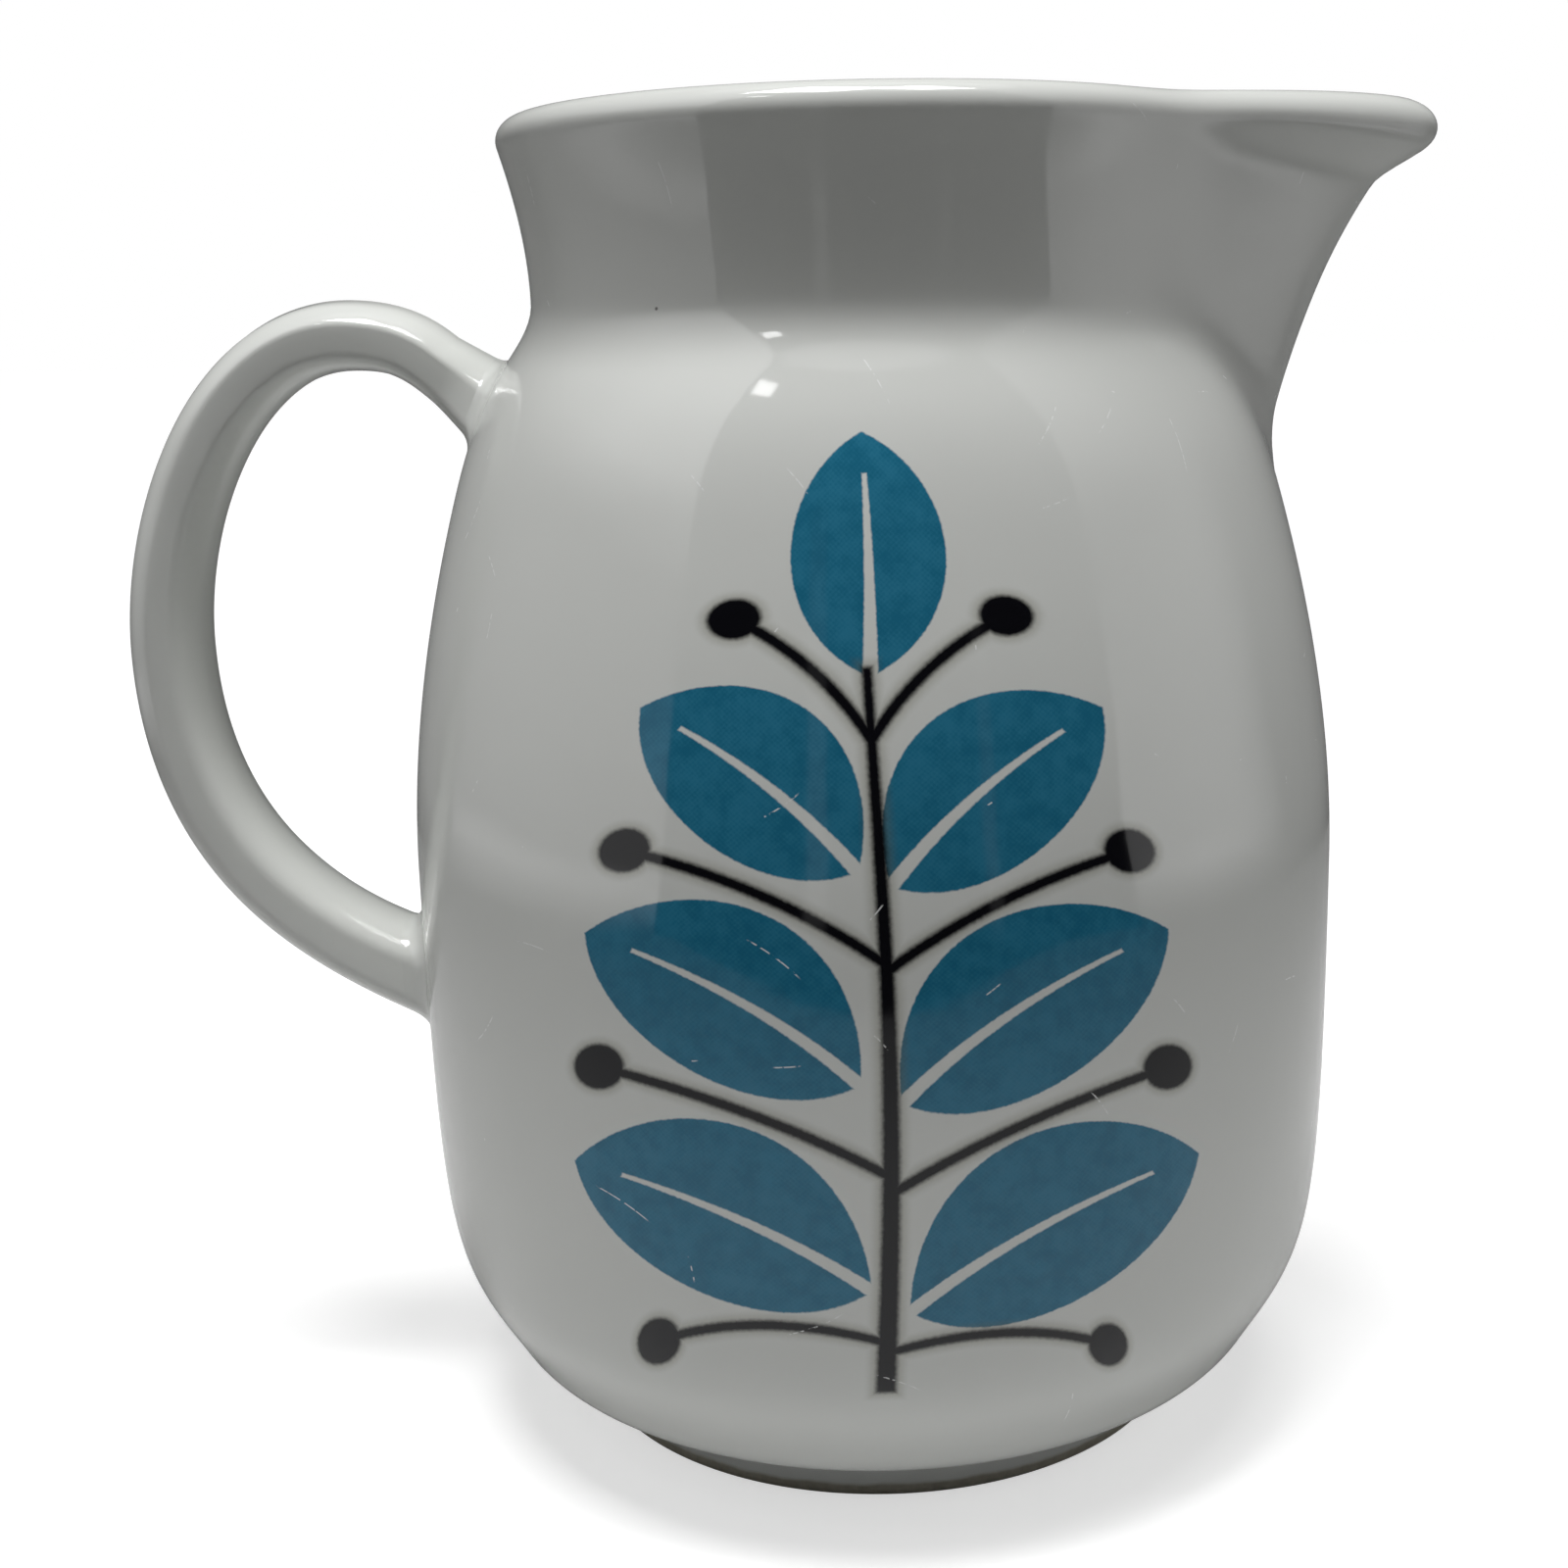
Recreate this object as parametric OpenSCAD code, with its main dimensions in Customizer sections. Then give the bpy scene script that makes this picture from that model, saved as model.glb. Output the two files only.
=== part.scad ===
// Cast porcelain jug with a drawn-out spout and a loop handle.
// The axis of the jug is Z, the foot ring rests on z = 0, the spout points along +X.
// The handle was cast by itself and stands on two thin seams of slip.

/* [Body] */
// Height of the rim above the table
jug_h = 133.4; // [130:0.1:138]
// Outer radius at the widest place of the belly
belly_r = 47.9; // [46:0.1:51]
// Height of the widest place of the belly
belly_z = 58.5; // [52:0.5:66]
// How far the shoulder has drawn in from the belly, where the spout starts to rise out of it
shoulder_in = 5.6; // [4:0.1:7]
// Height of that place on the shoulder
shoulder_z = 95.5; // [92:0.5:99]
// Outer radius at the narrowest place of the neck
neck_r = 33.4; // [32:0.1:35]
// Height of the narrowest place of the neck
neck_z = 115.6; // [114:0.1:118]
// Outer radius of the rim
rim_r = 36; // [34.5:0.1:37.5]
// Thickness of the rounded rim
rim_t = 5.2; // [4.6:0.1:5.6]
// Width of the rim's rounding on the outside
rim_round_w = 3.6; // [3:0.1:4]
// Height of the rim's rounding above its widest place
rim_round_h = 3.7; // [3:0.1:4.2]
// Thickness of the wall
wall = 4; // [3:0.1:4.6]
// Thickness of the base
base_t = 4.4; // [3:0.1:6]

/* [Foot] */
// Outer radius of the foot ring at the table
foot_r = 31.5; // [29:0.1:33]
// Width of the foot ring
foot_w = 3.6; // [3:0.1:5]
// Height of the foot ring
foot_h = 2.3; // [1.8:0.1:3]
// Rounding of the foot ring's outer edge
foot_edge_r = 0.8; // [0.4:0.1:1.2]
// Step from the foot ring out to the body's first curve
foot_step = 2.4; // [1.5:0.1:3]

/* [Spout] */
// Distance from the jug's axis to the outermost point of the spout
spout_reach = 58; // [56:0.1:60]
// Height of the spout's pouring edge above the rim
spout_rise = 0.6; // [0:0.1:1.5]
// Extra height of the edge halfway along each side of the spout
side_rise = 0.3; // [0:0.1:1.5]
// Rounding radius of the pouring edge
pour_edge_r = 2.7; // [2.3:0.1:2.9]
// Distance from the axis to the spout's front at the neck's narrowest place
front_neck_r = 46.2; // [45:0.1:47.5]
// Distance from the axis to the spout's front at its knuckle
front_knuckle_r = 51.8; // [51:0.1:52.5]
// Height of the knuckle under the pouring edge
knuckle_drop = 8.5; // [8:0.1:9.5]
// Depth at which the spout's front starts inside the shoulder
front_sink = 1.8; // [1.5:0.1:3]
// Width of the soft fold where spout and neck flow together
fold_w = 2; // [1:0.1:3]

/* [Handle] */
// How far the handle's middle line stands out from the belly
handle_out = 25.4; // [22:0.1:29]
// Height of the upper root on the shoulder
upper_root_z = 103.7; // [102:0.1:105]
// Height of the lower root on the belly
lower_root_z = 44.3; // [40:0.1:50]
// Rise of the handle's middle line above its upper root
handle_rise = 9.2; // [8:0.1:11]
// Thickness of the handle at the top
handle_t_top = 6.2; // [5:0.1:7.5]
// Thickness of the handle at the lower root
handle_t_low = 8.9; // [7.5:0.1:10.5]
// Width of the handle across the jug
handle_w = 11; // [9:0.1:13]

/* [Slip seams] */
// Thickness of the slip between handle and body
slip_t = 0.6; // [0.4:0.1:1]
// Slip squeezed out round the root
slip_bead = 0.5; // [0.3:0.1:1]

/* [Hidden] */

glaze_white = "#e6e8e7";
slip_white = "#d9dad6";

// Slopes in millimetres out per millimetre up, and angles in degrees
shoulder_slope = -0.28;
front_root_slope = 0.16;
front_neck_slope = 0.41;
front_knuckle_slope = 0.67;
rim_from_deg = -18;
pour_from_deg = -58;
heel_deg = 44;
beak_low_deg = 49;
beak_neck_deg = 51.5;
beak_neck_turn = 6;
beak_top_deg = 64;
beak_top_turn = 14;
nose_deg = 5.5;
upper_root_deg = 149;
lower_root_deg = 160;

// How far each curve pulls along its end directions, as a share of its span, and where
// the handle's top and its outermost place lie between its roots
heel_low_share = 0.84;
heel_high_share = 0.9;
floor_flat_share = 0.5;
floor_low_share = 0.72;
floor_high_share = 0.88;
handle_top_share = 0.445;
handle_mid_share = 0.621;
root_pull_share = 0.5;
top_in_share = 0.54;
top_out_share = 0.62;
mid_up_share = 0.43;
mid_down_share = 0.62;
low_pull_share = 0.5;

// The handle opens out by these shares at its two roots, over this share of an end curve
upper_flare_share = 0.5;
lower_flare_share = 0.12;
flare_run_share = 0.4;
// How deep the handle's middle line runs into the wall, before the wall cuts it off
root_depth_share = 0.6;
// Share of the columns' angle that is spread evenly; the rest crowds to the spout
front_even_share = 0.8;
// Power of the handle's section: 2 is an ellipse, and more is squarer
section_power = 2.3;

// Counts of rows, columns and rings
heel_steps = 12;
side_steps = 8;
outer_steps = 14;
edge_steps = 7;
inner_steps = 12;
columns = 96;
handle_steps = [8, 14, 15];
seam_steps = 4;
section_points = 20;
round_fn = 120;

// The drawn part of the body starts with a thin tongue, set into the revolved wall below it
tongue_share = 0.25;
tongue_gap_share = 0.03;
tongue_h = tongue_share * wall;
tongue_gap = tongue_gap_share * wall;

floor_z = foot_h + base_t;
shoulder_r = belly_r - shoulder_in;
root_depth = root_depth_share * wall;
rim_c = [rim_r - rim_round_w, jug_h - rim_round_h];
function rim_axes(deg) = [deg < 90 ? rim_round_w : rim_t - rim_round_w, rim_round_h];
pour_c = [spout_reach - pour_edge_r, jug_h + spout_rise - pour_edge_r];
pour_axes = [pour_edge_r, pour_edge_r];

// A point, and the slope there, on an oval about c with half axes ab
function oval(c, ab, deg) = [c[0] + ab[0] * cos(deg), c[1] + ab[1] * sin(deg)];
function oval_slope(ab, deg) = -ab[0] * sin(deg) / (ab[1] * cos(deg));

// A cubic curve with four control points
function bezier(p, t) =
    p[0] * pow(1 - t, 3) + p[1] * 3 * t * pow(1 - t, 2) + p[2] * 3 * t * t * (1 - t) + p[3] * pow(t, 3);
function bezier_slope(p, t) =
    (p[1] - p[0]) * 3 * pow(1 - t, 2) + (p[2] - p[1]) * 6 * t * (1 - t) + (p[3] - p[2]) * 3 * t * t;

// A smooth curve through stations of [height, radius, slope], read at height z
function between(a, b, z) = let (l = b[0] - a[0], t = (z - a[0]) / l)
    (2 * pow(t, 3) - 3 * t * t + 1) * a[1] + (pow(t, 3) - 2 * t * t + t) * l * a[2]
    + (3 * t * t - 2 * pow(t, 3)) * b[1] + (pow(t, 3) - t * t) * l * b[2];
function along(stations, z, i = 0) =
    i == len(stations) - 2 || z <= stations[i + 1][0] ? between(stations[i], stations[i + 1], z)
    : along(stations, z, i + 1);

// The larger of two radii, with their meeting rounded over a width k
function soft_max(a, b, k) = let (h = max(0, min(1, 0.5 + (a - b) / (2 * k))))
    b + (a - b) * h + k * h * (1 - h);

// Stations of the body's outer and inner curve above the belly
rim_to_deg = 180 + rim_from_deg;
rim_out = oval(rim_c, rim_axes(rim_from_deg), rim_from_deg);
rim_in = oval(rim_c, rim_axes(rim_to_deg), rim_to_deg);
outer_line = [
    [belly_z, belly_r, 0],
    [shoulder_z, shoulder_r, shoulder_slope],
    [neck_z, neck_r, 0],
    [rim_out[1], rim_out[0], oval_slope(rim_axes(rim_from_deg), rim_from_deg)]
];
inner_line = [
    [belly_z, belly_r - wall, 0],
    [shoulder_z, shoulder_r - wall, shoulder_slope],
    [neck_z, neck_r - wall, 0],
    [rim_in[1], rim_in[0], oval_slope(rim_axes(rim_to_deg), rim_to_deg)]
];

// Stations of the spout's front, outside and, one wall further in, inside
pour_out = oval(pour_c, pour_axes, pour_from_deg);
pour_in = oval(pour_c, pour_axes, 180 + pour_from_deg);
pour_slope = oval_slope(pour_axes, pour_from_deg);
function one_wall_in(s) = [s[0] + wall * sin(atan(s[2])), s[1] - wall * cos(atan(s[2])), s[2]];
front_root = [shoulder_z, shoulder_r - front_sink, front_root_slope];
front_neck = [neck_z, front_neck_r, front_neck_slope];
front_knuckle = [jug_h + spout_rise - knuckle_drop, front_knuckle_r, front_knuckle_slope];
front_line = [front_root, front_neck, front_knuckle, [pour_out[1], pour_out[0], pour_slope]];
channel_line = [
    [shoulder_z, front_root[1] - wall, front_root_slope],
    one_wall_in(front_neck),
    one_wall_in(front_knuckle),
    [pour_in[1], pour_in[0], pour_slope]
];

// Half angle, in plan, from the spout's middle to where its side touches the neck
beak_line = [
    [shoulder_z, beak_low_deg, 0],
    [neck_z, beak_neck_deg, beak_neck_turn / (jug_h - neck_z)],
    [jug_h, beak_top_deg, beak_top_turn / (jug_h - neck_z)]
];

// Radius of the spout's plan at plan angle a, for a front at radius r and height z
function beak(r, z, a) = let (
    reach = along(beak_line, z),
    turn = sqrt(a * a + nose_deg * nose_deg) - reach
) r * cos(reach - nose_deg) * (turn < 0 ? 1 / cos(turn) : cos(min(turn, 90)));

// The rows of the upper body: plain radius and height, front radius and height
function step(from, to, i, n) = from + (to - from) * i / n;
function side_row(plain, front, za, zb, i, n) = let (
    z = step(za[0], zb[0], i, n),
    y = step(za[1], zb[1], i, n)
) [along(plain, z), z, along(front, y), y];
function edge_row(i) = let (
    rim_deg = step(rim_from_deg, rim_to_deg, i, edge_steps),
    p = oval(rim_c, rim_axes(rim_deg), rim_deg),
    q = oval(pour_c, pour_axes, step(pour_from_deg, 180 + pour_from_deg, i, edge_steps))
) [p[0], p[1], q[0], q[1]];
function tongue_row(plain, gap) = let (z = shoulder_z - tongue_h) [along(plain, z) + gap, z, 0, z];
first_heights = [shoulder_z + tongue_h, shoulder_z + tongue_h];
rows = concat(
    [tongue_row(outer_line, -tongue_gap)],
    [for (i = [0:outer_steps - 1])
        side_row(outer_line, front_line, first_heights, [rim_out[1], pour_out[1]], i, outer_steps)],
    [for (i = [0:edge_steps]) edge_row(i)],
    [for (i = [1:inner_steps])
        side_row(inner_line, channel_line, [rim_in[1], pour_in[1]], first_heights, i, inner_steps)],
    [tongue_row(inner_line, tongue_gap)]
);

// Plan angles, closer together at the spout than at the handle
function column_deg(j) = let (u = 2 * j / columns - 1)
    180 * (front_even_share * u + (1 - front_even_share) * pow(u, 3));

// One point of the upper body: the plain round wall, drawn out into the spout
function wall_point(row, a) = let (
    r = soft_max(row[0], beak(row[2], row[3], a), fold_w),
    drawn = row[2] > row[0] ? max(0, min(1, (r - row[0]) / (row[2] - row[0]))) : 0,
    high = max(0, min(1, (row[1] - neck_z) / (jug_h - neck_z))),
    z = row[1] + (row[3] - row[1]) * drawn + side_rise * high * 4 * drawn * (1 - drawn)
) [r * cos(a), r * sin(a), z];

// Triangles of a grid of rows by columns that closes both ways or has two end caps
function grid_faces(m, n, ring) = concat(
    [for (i = [0:(ring ? m - 1 : m - 2)]) for (j = [0:n - 1]) for (k = [0, 1])
        let (
            a = i * n + j, b = i * n + (j + 1) % n,
            c = (i + 1) % m * n + (j + 1) % n, d = (i + 1) % m * n + j
        ) k == 0 ? [a, d, c] : [a, c, b]],
    ring ? [] : [[for (j = [0:n - 1]) j], [for (j = [n - 1:-1:0]) (m - 1) * n + j]]
);

// Half section of the foot, the base and the wall up to the shoulder
heel_start = [foot_r + foot_step, foot_h];
heel_end = [belly_r, belly_z];
heel_pull = heel_low_share * (belly_r - heel_start[0]);
heel_curve = [
    heel_start,
    heel_start + heel_pull * [cos(heel_deg), sin(heel_deg)],
    heel_end - [0, heel_high_share * (belly_z - foot_h)],
    heel_end
];
floor_start = [floor_flat_share * belly_r, floor_z];
floor_end = [belly_r - wall, belly_z];
floor_curve = [
    floor_start,
    floor_start + [floor_low_share * (floor_end[0] - floor_start[0]), 0],
    floor_end - [0, floor_high_share * (belly_z - floor_z)],
    floor_end
];
function heel_points(t) = [for (i = [0:heel_steps]) bezier(heel_curve, i / heel_steps) + [t, 0]];
foot_points = [
    [0, foot_h],
    [foot_r - foot_w, foot_h],
    [foot_r - foot_w + foot_edge_r, 0],
    [foot_r - foot_edge_r, 0],
    [foot_r, foot_edge_r]
];
function side_point(line, i) = let (z = step(belly_z, shoulder_z, i, side_steps)) [along(line, z), z];
lower_section = concat(
    foot_points,
    heel_points(0),
    [for (i = [1:side_steps]) side_point(outer_line, i)],
    [for (i = [side_steps:-1:1]) side_point(inner_line, i)],
    [for (i = [heel_steps:-1:0]) bezier(floor_curve, i / heel_steps)],
    [[0, floor_z]]
);

module lower_body() {
    rotate_extrude($fn = round_fn) polygon(lower_section);
}

module upper_body() {
    polyhedron(
        [for (row = rows) for (j = [0:columns - 1]) wall_point(row, column_deg(j))],
        grid_faces(len(rows), columns, true),
        convexity = 8
    );
}

module body() {
    color(glaze_white) union() {
        lower_body();
        upper_body();
    }
}

// The space that the plain body fills with its outside moved out by t
module body_core(t) {
    neck_rows = [for (i = [1:outer_steps]) [rows[i][0] + t, rows[i][1]]];
    rotate_extrude($fn = round_fn) polygon(concat(
        [[0, foot_h]],
        heel_points(t),
        [for (i = [1:side_steps]) side_point(outer_line, i) + [t, 0]],
        neck_rows,
        [[0, neck_rows[len(neck_rows) - 1][1]]]
    ));
}

// The handle's middle line, from the upper root over the top and down to the lower root
function on_body(z) = z > belly_z ? along(outer_line, z) : belly_r;
upper_root = [-(on_body(upper_root_z) - root_depth), upper_root_z];
lower_root = [-(on_body(lower_root_z) - root_depth), lower_root_z];
handle_mid = [
    -(belly_r + handle_out),
    lower_root_z + handle_mid_share * (upper_root_z - lower_root_z)
];
handle_top = [
    upper_root[0] + handle_top_share * (handle_mid[0] - upper_root[0]),
    upper_root_z + handle_rise
];
function out_from(p, deg, l) = p + l * [cos(deg), sin(deg)];
handle_curves = [
    [
        upper_root,
        out_from(upper_root, upper_root_deg, root_pull_share * (upper_root[0] - handle_top[0])),
        handle_top + [top_in_share * (upper_root[0] - handle_top[0]), 0],
        handle_top
    ],
    [
        handle_top,
        handle_top - [top_out_share * (handle_top[0] - handle_mid[0]), 0],
        handle_mid + [0, mid_up_share * (handle_top[1] - handle_mid[1])],
        handle_mid
    ],
    [
        handle_mid,
        handle_mid - [0, mid_down_share * (handle_mid[1] - lower_root_z)],
        out_from(lower_root, lower_root_deg, low_pull_share * (lower_root[0] - handle_mid[0])),
        lower_root
    ]
];
last_curve = len(handle_curves) - 1;

// One ring of the handle, square to its middle line, at place t of curve k
function flare(t) = pow(max(0, 1 - t / flare_run_share), 2);
function handle_ring(k, t, bead) = let (
    c = bezier(handle_curves[k], t),
    d = bezier_slope(handle_curves[k], t) / norm(bezier_slope(handle_curves[k], t)),
    across = [-d[1], d[0]],
    whole = (k + t) / len(handle_curves),
    upper_flare = k == 0 ? upper_flare_share * flare(t) : 0,
    lower_flare = k == last_curve ? lower_flare_share * flare(1 - t) : 0,
    open = 1 + upper_flare + lower_flare,
    half_t = open * step(handle_t_top, handle_t_low, whole, 1) / 2 + bead,
    half_w = open * handle_w / 2 + bead
) [for (j = [0:section_points - 1]) let (
    a = 360 * j / section_points,
    u = sign(cos(a)) * pow(abs(cos(a)), 2 / section_power) * half_t,
    v = sign(sin(a)) * pow(abs(sin(a)), 2 / section_power) * half_w
) [c[0] + across[0] * u, v, c[1] + across[1] * u]];

module handle_run(places, bead) {
    polyhedron(
        [for (p = places) for (q = handle_ring(p[0], p[1], bead)) q],
        grid_faces(len(places), section_points, false),
        convexity = 6
    );
}
handle_places = [for (k = [0:last_curve])
    for (i = [(k == 0 ? 0 : 1):handle_steps[k]]) [k, i / handle_steps[k]]];

module handle() {
    color(glaze_white) difference() {
        handle_run(handle_places, 0);
        body_core(slip_t);
    }
}

// Thin skin of slip on the body under one root of the handle
module slip_seam(places) {
    color(slip_white) difference() {
        intersection() {
            handle_run(places, slip_bead);
            body_core(slip_t);
        }
        body_core(0);
    }
}

module upper_slip_seam() {
    slip_seam([for (i = [0:seam_steps]) [0, i / handle_steps[0]]]);
}

module lower_slip_seam() {
    slip_seam([for (i = [seam_steps:-1:0]) [last_curve, 1 - i / handle_steps[last_curve]]]);
}

body();
handle();
upper_slip_seam();
lower_slip_seam();
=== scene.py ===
import bpy
import numpy as np
from mathutils import Matrix, Vector


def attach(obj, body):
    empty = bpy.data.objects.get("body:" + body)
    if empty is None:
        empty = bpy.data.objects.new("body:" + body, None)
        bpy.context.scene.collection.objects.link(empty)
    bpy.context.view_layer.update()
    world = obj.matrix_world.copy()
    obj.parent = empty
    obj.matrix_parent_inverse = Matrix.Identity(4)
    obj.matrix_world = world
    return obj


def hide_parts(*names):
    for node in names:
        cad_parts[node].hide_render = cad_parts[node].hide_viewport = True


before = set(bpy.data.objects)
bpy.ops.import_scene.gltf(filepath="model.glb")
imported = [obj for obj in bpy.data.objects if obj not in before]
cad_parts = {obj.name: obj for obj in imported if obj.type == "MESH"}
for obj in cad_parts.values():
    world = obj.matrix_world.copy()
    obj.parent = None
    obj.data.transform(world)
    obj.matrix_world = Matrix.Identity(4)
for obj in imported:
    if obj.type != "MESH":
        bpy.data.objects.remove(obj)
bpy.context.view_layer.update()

# The body of the jug: one shell of slip-cast porcelain with its foot ring, full belly, drawn-in
# shoulder, flared neck and rolled rim. The spout belongs to the same casting, drawn out along +X.
jug_height = 0.1334
belly_r, belly_z = 0.0479, 0.0585
shoulder_r, shoulder_z, shoulder_slope = 0.0423, 0.0955, -0.28
throat_r, throat_z, throat_slope = 0.0357, 0.1105, -0.72
neck_r, neck_z = 0.0334, 0.1156
rim_r, rim_thickness, rim_outer_w, rim_round_h = 0.036, 0.0052, 0.0026, 0.0023
wall, base_thickness = 0.004, 0.0044
foot_r, foot_w, foot_h, foot_edge = 0.0323, 0.0040, 0.0023, 0.0012
ring_top_out, ring_top_z, ring_root_z, ring_root_w = 0.0011, 0.0042, 0.0015, 0.0008
ring_pulls = [(0.0006, 0.0038), (0.0001, 0.0026)]
heel_r, heel_z, heel_deg, heel_reach, heel_high = 0.0413, 0.0093, 60, 0.0108, 0.86
heel_turn, heel_pull = 0.0019, 0.4
hub_r, past_crest_deg = 0.001, 89.9
floor_flat, floor_low, floor_high = 0.5, 0.72, 0.88
floor_z = foot_h + base_thickness
spout_reach, spout_rise, side_rise = 0.058, 0.0006, 0.0003
pour_outer, flank_outer, pour_inner = (0.0046, 0.003), (0.002, 0.0017), (0.0016, 0.003)
flank_degs, flank_drop, flank_back = (4, 32), 0.003, 0.002
front_neck_r, front_knuckle_r, knuckle_drop, front_sink = 0.0462, 0.0515, 0.0085, 0.0018
front_slopes = [0.16, 0.41, 0.67]
rim_from, rim_back, pour_from, flank_from, pour_back = -15, -17, -46, -55, -71
beak_degs, neck_turn, top_turn, nose = [49, 51.5, 64], 6, 14, 5.5
fold = 0.0034


def between_stations(stations, z):
    """Radius at height z: between two stations of [height, radius, slope] it is the cubic that
    meets both radii and both slopes."""
    s = np.array(stations, float)
    z = np.asarray(z, float)
    i = np.clip(np.searchsorted(s[:, 0], z) - 1, 0, len(s) - 2)
    (za, ra, ka), (zb, rb, kb) = s[i].T, s[i + 1].T
    span = zb - za
    t = (z.T - za) / span
    return ((2 * t**3 - 3 * t**2 + 1) * ra + (t**3 - 2 * t**2 + t) * span * ka
            + (3 * t**2 - 2 * t**3) * rb + (t**3 - t**2) * span * kb).T


def bezier(points, t):
    """Cubic curve: each of four points weighted by 1, 3, 3, 1 times its powers of 1 - t and t."""
    p, t = np.array(points, float), np.asarray(t, float)[:, None]
    return p[0] * (1 - t)**3 + 3 * p[1] * t * (1 - t)**2 + 3 * p[2] * t**2 * (1 - t) + p[3] * t**3


def oval(centre, axes, deg):
    """Point at an angle on an oval, centre plus the half axes times cosine and sine."""
    a = np.radians(deg)
    return np.stack([centre[0] + axes[0] * np.cos(a), centre[1] + axes[1] * np.sin(a)], -1)


def oval_slope(axes, deg):
    """How far the oval runs out for each step up, at that angle."""
    return -axes[0] * np.sin(np.radians(deg)) / (axes[1] * np.cos(np.radians(deg)))


def wall_point(plain_r, plain_z, front_r, front_z, flank_r, flank_z, deg):
    """A plain round wall drawn out into a spout. In plan the spout is a beak: its front keeps the
    radius front_r, and its sides run straight back until they touch the round neck. The larger of
    the two radii is taken, with their meeting rounded over the fold, and the height moves from
    the plain rim's to the spout's as far as the radius has moved. The nose rounds over wider than
    the flanks beside it, and an S-shaped step over the angle leads from one to the other."""
    aside = np.clip((np.abs(deg) - flank_degs[0]) / (flank_degs[1] - flank_degs[0]), 0, 1)
    aside = aside**2 * (3 - 2 * aside)
    front_r, front_z = front_r + (flank_r - front_r) * aside, front_z + (flank_z - front_z) * aside
    reach = between_stations(beak_stations, np.clip(front_z, shoulder_z, None))
    turn = np.sqrt(deg**2 + nose**2) - reach
    side = np.where(turn < 0, 1 / np.cos(np.radians(np.minimum(turn, 0))),
                    np.cos(np.radians(np.clip(turn, 0, 90))))
    beak = front_r * np.cos(np.radians(reach - nose)) * side
    mix = np.clip(0.5 + (plain_r - beak) / (2 * fold), 0, 1)
    r = beak + (plain_r - beak) * mix + fold * mix * (1 - mix)
    drawn = np.where(front_r > plain_r, (r - plain_r) / np.maximum(front_r - plain_r, 1e-9), 0)
    drawn = np.clip(drawn, 0, 1)
    high = np.clip((plain_z - neck_z) / (jug_height - neck_z), 0, 1)
    z = plain_z + (front_z - plain_z) * drawn + side_rise * high * 4 * drawn * (1 - drawn)
    a = np.radians(deg)
    return np.stack([r * np.cos(a), r * np.sin(a), z], -1)


def surface(name, grid, ring=False, poles=False, creases=()):
    """A mesh whose vertices are grid[row, column], closed round its columns. A ring also joins the
    last row to the first, and poles gather the open first and last row into one point each. The
    rows named as creases keep a hard edge."""
    m, n = grid.shape[:2]
    index = np.arange(m * n).reshape(m, n)
    a = index if ring else index[:-1]
    b = np.roll(index, -1, 0)[:len(a)]
    faces = np.stack([a, b, np.roll(b, -1, 1), np.roll(a, -1, 1)], -1).reshape(-1, 4).tolist()
    points = grid.reshape(-1, 3)
    if poles:
        first, last = index[0], index[-1]
        faces += np.stack([np.full(n, m * n), first, np.roll(first, -1)], -1).tolist()
        faces += np.stack([last, np.full(n, m * n + 1), np.roll(last, -1)], -1).tolist()
        points = np.vstack([points, grid[0].mean(0), grid[-1].mean(0)])
    mesh = bpy.data.meshes.new(name)
    mesh.from_pydata(points.tolist(), [], faces)
    mesh.polygons.foreach_set("use_smooth", np.ones(len(faces), bool))
    mesh.update()
    if creases:
        ends = np.zeros(2 * len(mesh.edges), np.int32)
        mesh.edges.foreach_get("vertices", ends)
        row = ends.reshape(-1, 2) // n
        hard = (row[:, 0] == row[:, 1]) & np.isin(row[:, 0], creases)
        mesh.attributes.new("sharp_edge", "BOOLEAN", "EDGE").data.foreach_set("value", hard)
    piece = bpy.data.objects.new(name, mesh)
    bpy.context.scene.collection.objects.link(piece)
    return piece


rim_centre = (rim_r - rim_outer_w, jug_height - rim_round_h)
rim_outer, rim_inner = (rim_outer_w, rim_round_h), (rim_thickness - rim_outer_w, rim_round_h)
pour_centre = (spout_reach - pour_outer[0], jug_height + spout_rise - pour_outer[1])
flank_centre = (spout_reach - flank_outer[0], jug_height + spout_rise - flank_outer[1])
knuckle_z = jug_height + spout_rise - knuckle_drop
rim_start = oval(rim_centre, rim_outer, rim_from)
rim_end = oval(rim_centre, rim_inner, 180 + rim_back)
pour_start = oval(pour_centre, pour_outer, pour_from)
pour_end = oval(pour_centre, pour_inner, 180 + pour_back)
flank_start = oval(flank_centre, flank_outer, flank_from)
front_root_r = shoulder_r - front_sink
throat_lean = np.arctan(-throat_slope)
outer_stations = [
    (belly_z, belly_r, 0), (shoulder_z, shoulder_r, shoulder_slope), (throat_z, throat_r, throat_slope),
    (neck_z, neck_r, 0), (rim_start[1], rim_start[0], oval_slope(rim_outer, rim_from))]
inner_stations = [
    (belly_z, belly_r - wall, 0), (shoulder_z, shoulder_r - wall, shoulder_slope),
    (throat_z - wall * np.sin(throat_lean), throat_r - wall * np.cos(throat_lean), throat_slope),
    (neck_z, neck_r - wall, 0), (rim_end[1], rim_end[0], oval_slope(rim_inner, 180 + rim_back))]
front_stations = [
    (shoulder_z, front_root_r, front_slopes[0]), (neck_z, front_neck_r, front_slopes[1]),
    (knuckle_z, front_knuckle_r, front_slopes[2]),
    (pour_start[1], pour_start[0], oval_slope(pour_outer, pour_from))]
flank_stations = front_stations[:2] + [
    (knuckle_z - flank_drop, front_knuckle_r - flank_back, front_slopes[2]),
    (flank_start[1], flank_start[0], oval_slope(flank_outer, flank_from))]
lean = np.arctan(front_slopes)
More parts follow.
